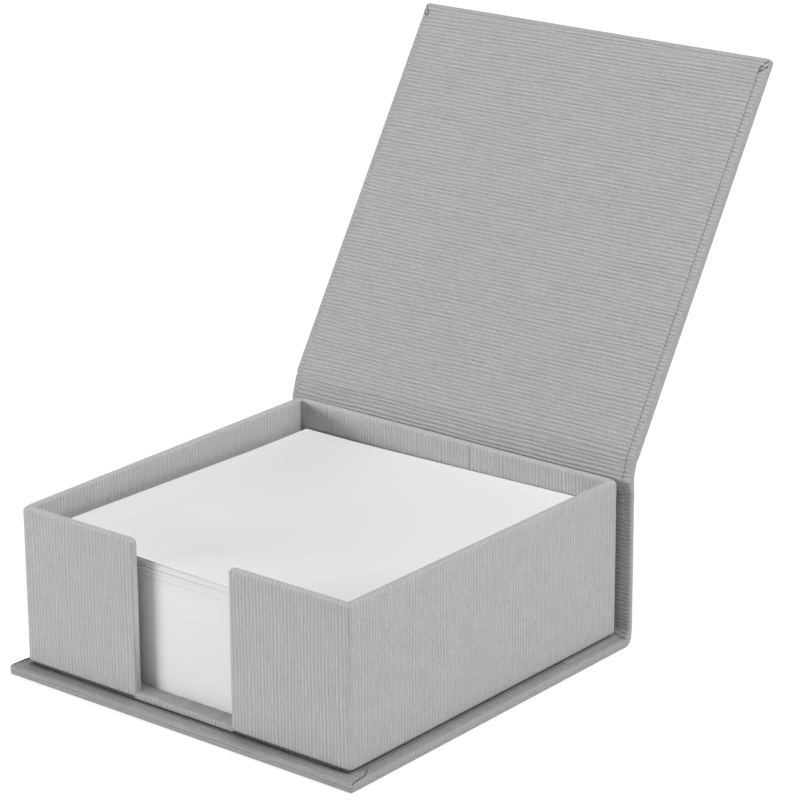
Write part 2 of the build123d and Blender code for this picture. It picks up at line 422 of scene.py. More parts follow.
def make_joint_bend(material):
    """The cover paper round the lower back edge, from the base to the spine."""
    shape = Shape()
    count = round(CASE_THICK * pi / 2 / RIB_STEP)
    turned = np.linspace(-pi / 2, 0, count + 1)[:, None]
    x, angle, side = case_columns()
    u = CASE_THICK * (turned + pi / 2)
    folds = (0.0, CASE_THICK * pi / 2)
    # Sunk by one rib height like the base, so the bend is painted darker as shade too
    height = RIB_HEIGHT * (ribs(u, x[None, :], BEND_SEED) - 1) * near_fold(u, folds)
    height = height * (1 - EDGE_PRESSED * np.sin(angle))
    reach = EDGE_RADIUS + height
    across = x + side * reach * np.sin(angle)
    outer = CASE_THICK - EDGE_RADIUS + reach * np.cos(angle)
    layers = []
    for radius in (outer, np.full(height.shape, BEND_CORE)):
        y = JOINT_Y + radius * np.cos(turned)
        z = CASE_THICK + radius * np.sin(turned)
        layers.append(shape.add(upright_place(across, y, z), height / RIB_HEIGHT))
    close_layers(shape, *layers, SMOOTH)
    return make_mesh("joint_bend_ribbed", shape, [material])


# Sheets: linings and the sill


def close_layers(shape, top, under, edge_kind):
    shape.grid(top, SMOOTH)
    shape.grid(under, FLAT)
    for row in (0, -1):
        shape.grid(np.stack([top[row], under[row]]), edge_kind)
    for column in (0, -1):
        shape.grid(np.stack([top[:, column], under[:, column]]), edge_kind)


def paper_sheet(path, x, place, height):
    """A sheet of paper: the path is its exposed side, and x its columns."""
    shape = Shape()
    raised = path[:, None, :2] + height[..., None] * path[:, None, 2:]
    top = shape.add(place(x[None, :], raised[..., 0], raised[..., 1]), height / RIB_HEIGHT)
    back = path[:, :2] - PAPER * path[:, 2:]
    under = shape.add(place(x[None, :], back[:, :1], back[:, 1:]), height / RIB_HEIGHT)
    close_layers(shape, top, under, CUT)
    return shape


# Turned-in cut edges are drawn as thin dark strips lying over the ribs: painted shade of the step
# at each edge
EDGE_LINE = 0.14 * MM           # width of the line along a cut edge
EDGE_POINTS = 16
EDGE_LIFT = 0.01 * MM           # above the crests of the ribs
EDGE_SINK = 0.1 * MM            # and into the paper
# Cut edges at a right-hand corner, as (x, distance from the fold) in millimetres
LID_EDGES = (
    [(49.5, 95.9), (49.65, 97.0), (50.2, 98.0), (50.8, 98.7), (51.2, 99.1)],
    [(49.7, 96.2), (50.5, 96.8), (51.0, 97.3), (51.25, 97.9)],
)
BASE_EDGES = (
    [(51.2, 99.9), (50.95, 98.6), (50.8, 96.5), (50.6, 94.8), (49.9, 93.6), (49.2, 92.5)],
)


def edge_line(shape, points, place, length):
    """A cut edge of turned-in paper on a panel's inner face, drawn as a dark strip of painted
    shade, and its mirror image at the left.
    """
    points = np.array(points) * MM
    ends = lengths(points)
    at = np.linspace(0, ends[-1], EDGE_POINTS)
    x, a = np.interp(at, ends, points[:, 0]), np.interp(at, ends, points[:, 1])
    way = np.stack([np.gradient(x), np.gradient(a)], 1)
    way = way / np.linalg.norm(way, axis=1)[:, None]
    for mirrored in (-1, 1):
        layers = []
        for lift in (RIB_HEIGHT + EDGE_LIFT, -EDGE_SINK):
            rows = []
            for wide in (-EDGE_LINE / 2, EDGE_LINE / 2):
                px, pa = x - wide * way[:, 1], a + wide * way[:, 0]
                over_x = np.clip(px - CASE_HALF + EDGE_RADIUS, 0, EDGE_RADIUS)
                over_a = np.clip(pa - length + EDGE_RADIUS, 0, EDGE_RADIUS)
                left = np.sqrt(np.maximum(EDGE_RADIUS ** 2 - over_x ** 2 - over_a ** 2, 0))
                rows.append(place(mirrored * px, pa, CASE_THICK - EDGE_RADIUS + left + lift))
            # a rib height of -1 paints the strip with the full groove shade of the cut-edge paper
            layers.append(shape.add(np.stack(rows), -1.0))
        close_layers(shape, *layers, FLAT)


def make_edge_lines(name, lines, place, length, material):
    shape = Shape()
    for points in lines:
        edge_line(shape, points, place, length)
    return make_mesh(name, shape, [material])


def liner_columns():
    return np.linspace(-LINER_HALF, LINER_HALF, round(2 * LINER_HALF / LONG_STEP) + 1)


CREASE_RAMP = 25 * MM           # creases deepen from this far left of the middle to as far right
CREASE_LEFT = 0.15              # share of their depth at the left
# Creases deep enough to take rib heights below the gap mark are painted darker, as their shade
# Creases of the lid's lining: distance from the hinge, depth, width
LID_CREASES = ((0.3 * MM, 0.14 * MM, 0.22 * MM), (1.6 * MM, 0.08 * MM, 0.25 * MM))


def liner_height(path, x, seed, folds, creases=()):
    u = lengths(path)
    height = RIB_HEIGHT * ribs(u[:, None], x[None, :], seed) * near_fold(u, folds)[:, None]
    deeper = np.clip((x + CREASE_RAMP) / (2 * CREASE_RAMP), CREASE_LEFT, 1)
    for crease, depth, width in creases:
        height = height - depth * np.exp(-((u - crease) / width) ** 2)[:, None] * deeper
    return height


def make_lid_liner(materials):
    face = CASE_THICK + PAPER
    path = run((0, face), (LID_LENGTH - LINER_INSET, face), (0, 1), RIB_STEP)
    x = liner_columns()
    height = liner_height(path, x, seed=1.6, folds=(0.0,), creases=LID_CREASES)
    return make_mesh("lid_liner_ribbed", paper_sheet(path, x, lid_place, height), materials)


def make_hinge_liner(materials):
    low = np.array((JOINT_Y - PAPER, FOLD_Z))
    high = np.array(LID_CORNER + (CASE_THICK + PAPER) * LID_INWARD)[1:]
    lean = atan2(high[0] - low[0], high[1] - low[1])
    path = run(low, high, (-cos(lean), sin(lean)), RIB_STEP)
    x = liner_columns()
    folds = (0.0, lengths(path)[-1])
    shape = paper_sheet(path, x, upright_place, liner_height(path, x, seed=6.2, folds=folds))
    return make_mesh("hinge_liner_ribbed", shape, materials), low, high


def make_spine_liner(materials):
    face_y, face_z = JOINT_Y - PAPER, CASE_THICK + PAPER
    end = JOINT_Y - LINER_FLAP
    path = np.vstack([
        run((face_y, FOLD_Z), (face_y, face_z + PAPER), (-1, 0), RIB_STEP),
        run((face_y - PAPER, face_z - FLAP_SUNK), (end, face_z - FLAP_SUNK), (0, 1), RIB_STEP),
    ])
    x = liner_columns()
    pressed = np.where(path[:, 3] > 0, FLAP_PRESSED, 1.0)
    height = liner_height(path, x, seed=7.4, folds=(0.0,)) * pressed[:, None]
    return make_mesh("spine_liner_ribbed", paper_sheet(path, x, spine_place, height), materials)


# The tray's wrap: a ring of five walls, each a profile carried along the wall

WALL_STRAIGHT = TRAY_HALF - CORNER_RADIUS
SQUEEZE_FROM = WALL_STRAIGHT - 3.9 * MM     # beyond this, ribs fan towards the corner
HALF_CORNER = CORNER_RADIUS * pi / 4
WRAP_SEED = 0.4
WALL_RIBS = 0.55                # the wrap is stretched, so its ribs are flatter
CORNER_FADE = 1.5 * MM          # ribs inside the tray fade out this near to a corner
CORNER_LIGHT = 0.3              # share of the turn at an inner corner that isn't painted with shade
UNDER = -0.3                    # where its normal points lower than this, the wrap is turned under and painted with shade


def wall_profile():
    """Rows of (depth, z, normal), up the inside, over the rim, down the outside and under."""
    r = EDGE_RADIUS
    inside = run((0, FLOOR_Z), (0, RIM_Z - r), (-1, 0), LONG_STEP)
    outside = inside[::-1] * (1, 1, -1, 1) + (WALL, 0, 0, 0)
    path = join(
        inside,
        turn((r, RIM_Z - r), r, 180, 90),
        run((r, RIM_Z), (WALL - r, RIM_Z), (0, 1), WALL),
        turn((WALL - r, RIM_Z - r), r, 90, 0),
        outside,
    )
    ends = len(path) - 1
    foot, r = TRAY_Z + FOOT_GAP, FOOT_RADIUS
    path = join(
        path,
        run((WALL, FLOOR_Z), (WALL, foot + r), (1, 0), LONG_STEP),
        turn((WALL - r, foot + r), r, 0, -90),
    )
    return path, ends, len(inside)


def wall_columns(start, end):
    count = round((end - start) / RIB_STEP)
    straight = np.linspace(start, end, count + 1)
    angles = np.linspace(0, HALF_CORNER, TURN_STEPS + 1)[1:]
    parts = [straight]
    if start == -WALL_STRAIGHT:
        parts.insert(0, start - angles[::-1])
    if end == WALL_STRAIGHT:
        parts.append(end + angles)
    return np.concatenate(parts)


def wall_points(path, w, height, outward, along):
    """Points of a wall at places w along its outside, and the normals there."""
    depth, z = path[:, :1], path[:, 1:2]
    radius = INNER_RADIUS + (CORNER_RADIUS - INNER_RADIUS) * np.clip(depth / WALL, 0, 1)
    reach = TRAY_IN + depth
    straight = reach - radius
    far = np.abs(w)[None, :]
    fan = (straight - SQUEEZE_FROM) / (WALL_STRAIGHT - SQUEEZE_FROM)
    squeezed = SQUEEZE_FROM + (far - SQUEEZE_FROM) * fan
    along_wall = np.where(far <= SQUEEZE_FROM, far, np.minimum(squeezed, straight))
    angle = np.clip((far - WALL_STRAIGHT) / CORNER_RADIUS, 0, pi / 4)
    side = np.sign(w)[None, :]
    s = side * (along_wall + radius * np.sin(angle))
    o = straight + radius * np.cos(angle)
    out, way = np.array(outward), np.array(along)
    level = np.cos(angle)[..., None] * out + (side * np.sin(angle))[..., None] * way
    normal = path[:, 2][:, None, None] * level + path[:, 3][:, None, None] * np.array((0, 0, 1))
    flat = o[..., None] * out + s[..., None] * way
    points = flat + np.array((0, TRAY_Y, 0)) + z[..., None] * np.array((0, 0, 1))
    return points + height[..., None] * normal, normal


def wall_height(path, w, inside_rows, seam=None):
    u = lengths(path)
    height = WALL_RIBS * RIB_HEIGHT * ribs(w[None, :], u[:, None], WRAP_SEED)
    squeeze = np.clip(path[:, :1] / WALL, 0, 1)
    corner = np.clip(1 + (np.abs(w)[None, :] - WALL_STRAIGHT) / CORNER_FADE, 0, 1)
    height = height * (1 - corner * (1 - squeeze))
    tone = height / (WALL_RIBS * RIB_HEIGHT)
    # Painted shade in the inside corners
    tone[:inside_rows][:, np.abs(w) > WALL_STRAIGHT + CORNER_LIGHT * HALF_CORNER] = CORNER_SHADE
    # Painted shade under the turned-under foot, as the shadow between the tray and the base
    tone[path[:, 3] < UNDER] = DEEPEST_SHADE
    if seam is not None:
        gap = np.abs(w - seam) < SEAM_WIDTH / 2
        height[:inside_rows][:, gap] -= SEAM_DEPTH
        # Painted shade in the seam's gap
        tone[:inside_rows][:, gap] = DEEPEST_SHADE
    return height, tone


SETTLE = 0.45 * MM              # the front wall left of the notch stands this much lower
BOW = 0.3 * MM                  # and the back wall leans in from the spine
BOW_FROM = 1.5 * MM             # the lean sets in this far inside the back wall
BOW_RAMP = 1.0 * MM
CORNER_DIP = 0.5 * MM           # the rim dips at the tray's corners
CORNER_REACH = 2.6 * MM
END_DIP = 0.4 * MM              # and at the notch
END_REACH = 1.6 * MM
END_BEHIND = 0.5 * MM           # no further back than this behind the front wall
DIP_POWER = 6                   # dips fade out this quickly below the rim


def settle(points):
    """Points of the tray, moved to where its walls have settled."""
    points = np.array(points, float)
    x, y, z = points[..., 0], points[..., 1], points[..., 2]
    high = np.clip((z - FLOOR_Z) / (RIM_Z - FLOOR_Z), 0, 1)
    forward = np.clip((TRAY_Y + TRAY_HALF - y) / (2 * TRAY_HALF), 0, 1)
    across = np.clip((x + TRAY_HALF) / (2 * TRAY_HALF), 0, 1)
    behind = np.clip((y - TRAY_Y - TRAY_IN + BOW_FROM) / BOW_RAMP, 0, 1)
    from_corner = np.hypot(TRAY_HALF - np.abs(x), TRAY_HALF - np.abs(y - TRAY_Y))
    at_corner = np.clip(1 - from_corner / CORNER_REACH, 0, 1)
    in_front = y < TRAY_Y - TRAY_IN + END_BEHIND
    at_end = np.clip(1 - (np.abs(x) - NOTCH_HALF) / END_REACH, 0, 1) * in_front
    dip = (CORNER_DIP * at_corner ** 2 + END_DIP * at_end ** 2) * high ** DIP_POWER
    points[..., 2] = z - SETTLE * high * forward * (x < 0) - dip
    points[..., 1] = y - BOW * high * behind * np.sin(pi * across ** 2)
    return points


def end_cap(path, w, height, points, normal, along, side):
    """Columns that turn from a wall's last one, at w, round its free end, and their rib heights."""
    u = lengths(path)
    core = points - (END_RADIUS + height)[:, None] * normal
    columns, tones = [], []
    for angle in np.linspace(0, pi / 2, TURN_STEPS + 1)[1:]:
        at = w + side * END_RADIUS * angle
        tone = ribs(np.array([[at]]), u[:, None], WRAP_SEED)[:, 0]
        reach = END_RADIUS + WALL_RIBS * RIB_HEIGHT * tone
        turned = cos(angle) * normal + side * sin(angle) * np.array(along)
        columns.append(core + reach[:, None] * turned)
        tones.append(tone)
    return np.stack(columns, 1), np.stack(tones, 1)


def add_wall(shape, outward, along, start, end, seam=None):
    path, ends, inside_rows = wall_profile()
    w = wall_columns(start, end)
    height, tone = wall_height(path, w, inside_rows, seam)
    points, normal = wall_points(path, w, height, outward, along)
    free = []
    if start > -WALL_STRAIGHT:
        free.append(0)
        cap, cap_tone = end_cap(path, w[0], height[:, 0], points[:, 0], normal[:, 0], along, -1)
        points = np.hstack([cap[:, ::-1], points])
        tone = np.hstack([cap_tone[:, ::-1], tone])
    if end < WALL_STRAIGHT:
        free.append(-1)
        cap, cap_tone = end_cap(path, w[-1], height[:, -1], points[:, -1], normal[:, -1], along, 1)
        points = np.hstack([points, cap])
        tone = np.hstack([tone, cap_tone])
    index = shape.add(settle(points), tone)
    shape.grid(index, SMOOTH)
    shape.grid(index[[-1, 0]], FLAT)
    for column in free:
        for i in range(ends // 2):
            high, low = ends - i - 1, ends - i
            corners = (i, i + 1, high, low) if high > i + 1 else (i, i + 1, low)
            shape.face([index[k, column] for k in corners], SMOOTH)
        rest = [0] + list(range(ends, len(path)))
        shape.face([index[k, column] for k in rest], FLAT)


HOLLOW_FOOT = 0.4 * MM          # a wall's hollow begins this far below the tray's floor
HOLLOW_TOP = 0.45 * MM          # and ends this far below the rim
HOLLOW_END = 0.6 * MM           # and, in the side walls, this far from the tray's corners


def wall_hollow(shape, outward, along, start, end):
    out, way = np.array(outward), np.array(along)
    near, far = HOLLOW, WALL - HOLLOW
    low, high = FLOOR_Z - HOLLOW_FOOT, RIM_Z - HOLLOW_TOP
    rings = []
    for s in np.linspace(start, end, HOLLOW_RINGS):
        for depth, z in ((near, low), (far, low), (far, high), (near, high)):
            rings.append((TRAY_IN + depth) * out + s * way + np.array((0, TRAY_Y, z)))
    shape.hollow(settle(rings).reshape(HOLLOW_RINGS, 4, 3))


# Each wall: outwards, along it, its start and end along that, and the wrap's seam
WALLS = [
    ((1, 0, 0), (0, 1, 0), -WALL_STRAIGHT, WALL_STRAIGHT, None),
    ((0, 1, 0), (-1, 0, 0), -WALL_STRAIGHT, WALL_STRAIGHT, -SEAM_X),
    ((-1, 0, 0), (0, -1, 0), -WALL_STRAIGHT, WALL_STRAIGHT, None),
    ((0, -1, 0), (1, 0, 0), -WALL_STRAIGHT, -NOTCH_HALF - END_RADIUS, None),
    ((0, -1, 0), (1, 0, 0), NOTCH_HALF + END_RADIUS, WALL_STRAIGHT, None),
]


def make_tray_wrap(material):
    shape = Shape()
    for wall in WALLS:
        add_wall(shape, *wall)
    for outward, along, start, end, seam in WALLS:
        reach = TRAY_IN if outward[1] else TRAY_HALF - HOLLOW_END
        wall_hollow(shape, outward, along, max(start, -reach), min(end, reach))
    return make_mesh("tray_wrap_ribbed", shape, [material])


# Solids that are shown as settled copies
FITTED = [
    "tray_left_wall_board",
    "tray_right_wall_board",
    "tray_back_wall_board",
    "tray_front_left_wall_board",
    "tray_front_right_wall_board",
    "tray_corner_stays",
    "tray_floor_board",
    "spine_board",
]
FITTED_CUTS = 24                # lengths that a copy is cut into, so that it can bend
FLOOR_DRAWN_IN = 0.985          # the floor board, clear of the rounded foot


def make_fitted(node, material):
    """A copy of a board or of the stays, settled with the tray or stood back with the spine."""
    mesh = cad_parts[node].data.copy()
    mesh.name = node + "_settled"
    work = bmesh.new()
    work.from_mesh(mesh)
    columns = np.linspace(-TRAY_HALF, TRAY_HALF, FITTED_CUTS + 1)[1:-1]
    cuts = [((x, 0, 0), (1, 0, 0)) for x in columns]
    if node == "spine_board":
        cuts += [((0, 0, z), (0, 0, 1)) for z in (CASE_THICK + STAND_FOOT, FOLD_Z - STAND_TOP)]
    for point, normal in cuts:
        parts = work.verts[:] + work.edges[:] + work.faces[:]
        bmesh.ops.bisect_plane(work, geom=parts, plane_co=point, plane_no=normal)
    for vertex in work.verts:
        if node == "tray_floor_board":
            vertex.co.x *= FLOOR_DRAWN_IN
            vertex.co.y = TRAY_Y + (vertex.co.y - TRAY_Y) * FLOOR_DRAWN_IN
        vertex.co = stand_back(vertex.co) if node == "spine_board" else settle(vertex.co)
    work.to_mesh(mesh)
    work.free()
    mesh.materials.clear()
    mesh.materials.append(material)
    piece = bpy.data.objects.new(mesh.name, mesh)
    bpy.context.scene.collection.objects.link(piece)
    return piece


def make_sill(materials):
    """The wrap below the finger notch: up the front edge and over onto the floor."""
    r = SILL_RADIUS
    front = TRAY_Y - TRAY_HALF
    foot = TRAY_Z + FOOT_GAP
    path = join(
        turn((front + r, foot + r), r, 270, 180),
        run((front, foot + r), (front, FLOOR_Z - r), (-1, 0), LONG_STEP),
        turn((front + r, FLOOR_Z - r), r, 180, 90),
        run((front + r, FLOOR_Z), (TRAY_Y - TRAY_IN + SILL_FLAP, FLOOR_Z), (0, 1), LONG_STEP),
    )
    half = NOTCH_HALF + END_RADIUS
    x = np.linspace(-half, half, round(2 * half / RIB_STEP) + 1)
    u = lengths(path)
    height = RIB_HEIGHT * ribs(x[None, :], u[:, None], WRAP_SEED)
    return make_mesh("tray_sill_ribbed", paper_sheet(path, x, upright_place, height), materials)


# The sheets

STACK_SEED = 11
SHEET_THICK = 0.1 * MM
STACK_FORWARD = 0.1 * MM        # clear of the back wall where it leans in
STACK_RIGHT = 0.3 * MM          # and nearer to the right wall
SHEET_SHIFT = 0.006 * MM        # how far a sheet lies off its neighbours
DRIFT = 0.004 * MM              # and how far the stack drifts from sheet to sheet
DRIFT_KEPT = 0.97
# The top of the stack is twisted and lies in bundles, from below: sheets, the gap below them
# at the front left corner, and how far they lie to the front
BUNDLES = (
    (9, 0.13 * MM, 0.02 * MM),
    (9, 0.15 * MM, 0.08 * MM),
    (9, 0.17 * MM, 0.03 * MM),
    (4, 0.15 * MM, 0.10 * MM),
    (2, 0.2 * MM, 0.05 * MM),
)
TWISTED = sum(sheets for sheets, gap, forward in BUNDLES)
TWIST = 0.63                    # how far the gaps close from one corner to the next
SWELL = 0.17                    # and how loosely the sheets lie where they are open
BUNDLE_RIGHT = (-0.4 * MM, 0.1 * MM)
BUNDLE_TURN = 0.1               # in degrees
TWISTED_SHIFT = 0.008 * MM      # how far a sheet lies off its bundle
SHEET_FILL = 0.97               # share of a sheet's room that it takes up
SHEET_GRID = 17


def sheet_places():
    """(right, forward, turn, tone, gap below) of each twisted sheet, from below."""
    draw = np.random.RandomState(STACK_SEED + 1)
    total = 0.0
    for sheets, gap, forward in BUNDLES:
        total += gap
        right = STACK_RIGHT + draw.uniform(*BUNDLE_RIGHT)
        turned = radians(draw.uniform(-BUNDLE_TURN, BUNDLE_TURN))
        for i in range(sheets):
            across, ahead = draw.normal(0, TWISTED_SHIFT, 2)
            tone = draw.uniform(-1, 1)
            yield right + across, STACK_FORWARD + forward + ahead, turned, tone, total


def add_twisted(shape, first, last):
    """Some of the twisted sheets, counted from the lowest."""
    low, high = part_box("memo_stack")
    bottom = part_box("loose_sheets")[1].z - TWISTED * SHEET_THICK
    centre, half = (low + high) / 2, (high.x - low.x) / 2
    grid = np.linspace(-half, half, SHEET_GRID)
    x, y = np.meshgrid(grid, grid)
    open_share = np.clip(1 - TWIST + TWIST * (x / half) * (y / half), 0, None)
    places = list(enumerate(sheet_places()))
    for i, (right, forward, turned, tone, gap) in places[first:last]:
        at_x = centre.x + right + x * cos(turned) - y * sin(turned)
        at_y = centre.y - forward + x * sin(turned) + y * cos(turned)
        thick = SHEET_THICK * (1 + SWELL * open_share)
        z = bottom + i * thick + gap * open_share
        top = shape.add(np.stack([at_x, at_y, z + SHEET_FILL * thick], -1), tone)
        under = shape.add(np.stack([at_x, at_y, z], -1), tone)
        close_layers(shape, top, under, FLAT)


def loose_count():
    """Sheets that are a node of their own, on top of the stack."""
    low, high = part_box("loose_sheets")
    return round((high.z - low.z) / SHEET_THICK)


def make_stack(materials):
    """Each sheet of the stack lies a little off the one below it."""
    low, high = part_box("memo_stack")
    draw = np.random.RandomState(STACK_SEED)
    shape = Shape()
    twisted = TWISTED - loose_count()
    count = round((high.z - low.z) / SHEET_THICK) - twisted
    drift = np.zeros(2)
    centre, half = (low + high) / 2, (high.x - low.x) / 2
    for i in range(count):
        drift = DRIFT_KEPT * drift + draw.normal(0, DRIFT, 2)
        shift = drift + draw.normal(0, SHEET_SHIFT, 2)
        rings = []
        for z in (i * SHEET_THICK, (i + 1) * SHEET_THICK):
            for sx, sy in ((-1, -1), (1, -1), (1, 1), (-1, 1)):
                y = centre.y + sy * half + shift[1] - STACK_FORWARD
                rings.append((centre.x + sx * half + shift[0] + STACK_RIGHT, y, low.z + z))
        shape.tube(np.reshape(rings, (2, 4, 3)))
        shape.heights[-1] = np.full_like(shape.heights[-1], draw.uniform(-1, 1))
    add_twisted(shape, 0, twisted)
    return make_mesh("memo_stack_sheets", shape, materials)


def make_loose_sheets(materials):
    """The top sheets, which part towards the notch."""
    shape = Shape()
    add_twisted(shape, TWISTED - loose_count(), TWISTED)
    return make_mesh("loose_sheets_top", shape, materials)


# Materials

FIBRE_SCALE = 1.6               # fibres, streaks, clouds and specks to a millimetre
STREAK_SCALE = 1.0
CLOUD_SCALE = 0.16
GRAIN_SCALE = 4.0
STREAK_LENGTH = 3.0             # streaks are this many times longer than long fibres
STREAK_SHARE = 0.6              # and have this share of their contrast
FIBRE_RANGE = (0.25, 0.75)      # of the noise, which keeps near its middle
NOISE_RANGE = (0.3, 0.7)
GAP_TONE = 0.25                 # light left in the deepest gaps
PAPER_ROUGH = (0.78, 0.92)
PAPER_SPECULAR = 0.25
FIBRE_RELIEF = 0.03 * MM
MIX_FROM, MIX_TO, MIX_RESULT = 6, 7, 2      # the colour sockets of a mix node


def new_material(name):
    material = bpy.data.materials.new(name)
    material.use_nodes = True
    nodes = material.node_tree.nodes
    return material, nodes, material.node_tree.links, nodes["Principled BSDF"]


def noise(nodes, links, stretch, scale, detail):
    """Noise over the object's own coordinates, in millimetres."""
    place = nodes.new("ShaderNodeTexCoord")
    mapping = nodes.new("ShaderNodeMapping")
    mapping.inputs["Scale"].default_value = [1 / MM / s for s in stretch]
    texture = nodes.new("ShaderNodeTexNoise")
    texture.inputs["Scale"].default_value = scale
    texture.inputs["Detail"].default_value = detail
    links.new(place.outputs["Object"], mapping.inputs["Vector"])
    links.new(mapping.outputs["Vector"], texture.inputs["Vector"])
    return texture.outputs["Fac"]


def span(nodes, links, value, low, high, to_low, to_high):
    node = nodes.new("ShaderNodeMapRange")
    sockets = ("From Min", "From Max", "To Min", "To Max")
    for socket, number in zip(sockets, (low, high, to_low, to_high)):
        node.inputs[socket].default_value = number
    links.new(value, node.inputs["Value"])
    return node.outputs["Result"]


def multiply(nodes, links, first, second):
    node = nodes.new("ShaderNodeMath")
    node.operation = "MULTIPLY"
    links.new(first, node.inputs[0])
    links.new(second, node.inputs[1])
    return node.outputs["Value"]


def grey(nodes, links, value, tint):
    """A colour of the given tint, as light as value."""
    node = nodes.new("ShaderNodeMix")
    node.data_type = "RGBA"
    node.inputs[MIX_FROM].default_value = (0, 0, 0, 1)
    node.inputs[MIX_TO].default_value = (*tint, 1)
    links.new(value, node.inputs["Factor"])
    return node.outputs[MIX_RESULT]


def paper_material(
    name, tone, stretch, groove,
    tint=(1.0, 1.0, 1.0), fibre=0.08, relief=0.25, cloud=0.015, grain=0.0,
):
    """Paper: fine fibres along stretch, longer streaks, specks of grain, grooves painted darker as
    shade, and painted shade where rib heights are lowest.
    """
    material, nodes, links, shader = new_material(name)
    longer = [STREAK_LENGTH * s if s > 1 else s for s in stretch]
    fibres = noise(nodes, links, stretch, FIBRE_SCALE, detail=3.0)
    streaks = noise(nodes, links, longer, STREAK_SCALE, detail=1.0)
    clouds = noise(nodes, links, (1, 1, 1), CLOUD_SCALE, detail=2.0)
    specks = noise(nodes, links, (1, 1, 1), GRAIN_SCALE, detail=1.0)
    rib = nodes.new("ShaderNodeAttribute")
    rib.attribute_name = "rib"
    height = rib.outputs["Fac"]
    value = span(nodes, links, fibres, *FIBRE_RANGE, tone * (1 - fibre), tone * (1 + fibre))
    for texture, depth in ((clouds, cloud), (streaks, STREAK_SHARE * fibre), (specks, grain)):
        varied = span(nodes, links, texture, *NOISE_RANGE, 1 - depth, 1 + depth)
        value = multiply(nodes, links, value, varied)
    # Grooves are painted darker, as the shade that falls in them
    value = multiply(nodes, links, value, span(nodes, links, height, -1.0, 1.0, 1 - groove, 1.0))
    # Rib heights below the gap mark are painted darker still: shade in gaps, seams, creases,
    # corners and under the foot
    dark = span(nodes, links, height, DEEPEST_SHADE, SHADE_FROM, GAP_TONE, 1.0)
    value = multiply(nodes, links, value, dark)
    links.new(grey(nodes, links, value, tint), shader.inputs["Base Color"])
    rough = span(nodes, links, fibres, *NOISE_RANGE, *PAPER_ROUGH)
    links.new(rough, shader.inputs["Roughness"])
    shader.inputs["Specular IOR Level"].default_value = PAPER_SPECULAR
    bump = nodes.new("ShaderNodeBump")
    bump.inputs["Strength"].default_value = relief
    bump.inputs["Distance"].default_value = FIBRE_RELIEF
    links.new(fibres, bump.inputs["Height"])
    links.new(bump.outputs["Normal"], shader.inputs["Normal"])
    return material


WALL_TONE = 0.515
CASE_SHADED_TONE = 0.855 * WALL_TONE   # the case's paper is painted a little darker than the tray's, as shade: a darker copy of the same paper
# cut edges are dark partly from glue at the edge and partly as painted shade of the steps along
# them
EDGE_TONE = 0.40
SHEET_TONE = 0.82
BOARD_TONE = 0.31
TAPE_TONE = 0.42
BOARD_TINT = (1.0, 0.94, 0.86)
TAPE_TINT = (1.0, 0.8, 0.58)

upright_ribbed = paper_material(
    "ribbed_paper_upright", WALL_TONE, stretch=(0.35, 0.35, 1.4), groove=0.25, grain=0.12)
level_ribbed = paper_material(
    "ribbed_paper_level", CASE_SHADED_TONE, stretch=(1.4, 0.35, 0.35), groove=0.24, fibre=0.1, grain=0.14)
# Grooves on cut edges are painted much darker: painted shade of the dashes where ribs cross the
# edge
cut_edge = paper_material(
    "paper_cut_edge", EDGE_TONE, stretch=(0.5, 0.5, 0.5), groove=0.75)
sheet_paper = paper_material(
    "sheet_paper", SHEET_TONE, stretch=(0.4, 0.4, 0.4), groove=0.02,
    fibre=0.005, relief=0.06, cloud=0.002)
greyboard = paper_material(
    "greyboard", BOARD_TONE, stretch=(0.5, 0.5, 0.5), groove=0.0, tint=BOARD_TINT, fibre=0.18)
stay_tape = paper_material(
    "stay_tape", TAPE_TONE, stretch=(0.6, 0.6, 0.6), groove=0.0, tint=TAPE_TINT, fibre=0.1)


# The pieces on their bodies


def dress(piece, slot, *nodes):
    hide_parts(*nodes)


def ride(piece, body, slot, *nodes):
    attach(piece, body)
    dress(piece, slot, *nodes)


def row_point(section):
    return (0.0, float(section[0]), float(section[1]))


ride(make_tray_wrap(upright_ribbed), "case", "ribbed_paper", "tray_wrap_paper")
sill = make_sill([upright_ribbed, cut_edge])
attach(sill, "case")
for node in FITTED:
    tape = node.endswith("stays")
    piece = make_fitted(node, stay_tape if tape else greyboard)
    ride(piece, "case", "stay_tape" if tape else "greyboard", node)
ride(make_base_cover(level_ribbed), "case", "ribbed_paper", "base_cover_paper")
ride(make_spine_cover(level_ribbed), "case", "ribbed_paper", "spine_cover_paper")
bend = make_joint_bend(level_ribbed)
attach(bend, "case")
ride(make_spine_liner([level_ribbed, cut_edge]), "case", "ribbed_paper", "spine_liner_paper")
ride(make_lid_cover(level_ribbed), "lid", "ribbed_paper", "lid_cover_paper")
ride(make_lid_liner([level_ribbed, cut_edge]), "lid", "ribbed_paper", "lid_liner_paper")
hinge_cover, hinge_low, hinge_high = make_hinge_cover(level_ribbed)
row_point(hinge_low)
row_point(hinge_high)
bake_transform(hinge_cover)
dress(hinge_cover, "ribbed_paper", "hinge_cover_strip")
hinge_liner, liner_low, liner_high = make_hinge_liner([level_ribbed, cut_edge])
row_point(liner_low)
row_point(liner_high)
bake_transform(hinge_liner)
dress(hinge_liner, "ribbed_paper", "hinge_liner_strip")
for name, lines, place, length, body in (
    ("lid_turned_edges", LID_EDGES, lid_place, LID_LENGTH, "lid"),
    ("base_turned_edges", BASE_EDGES, base_place, JOINT_Y - FRONT_Y, "case"),
):
    piece = make_edge_lines(name, lines, place, length, cut_edge)
    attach(piece, body)
ride(make_stack([sheet_paper]), "sheets", "sheet_paper", "memo_stack")
ride(make_loose_sheets([sheet_paper]), "sheets", "sheet_paper", "loose_sheets")

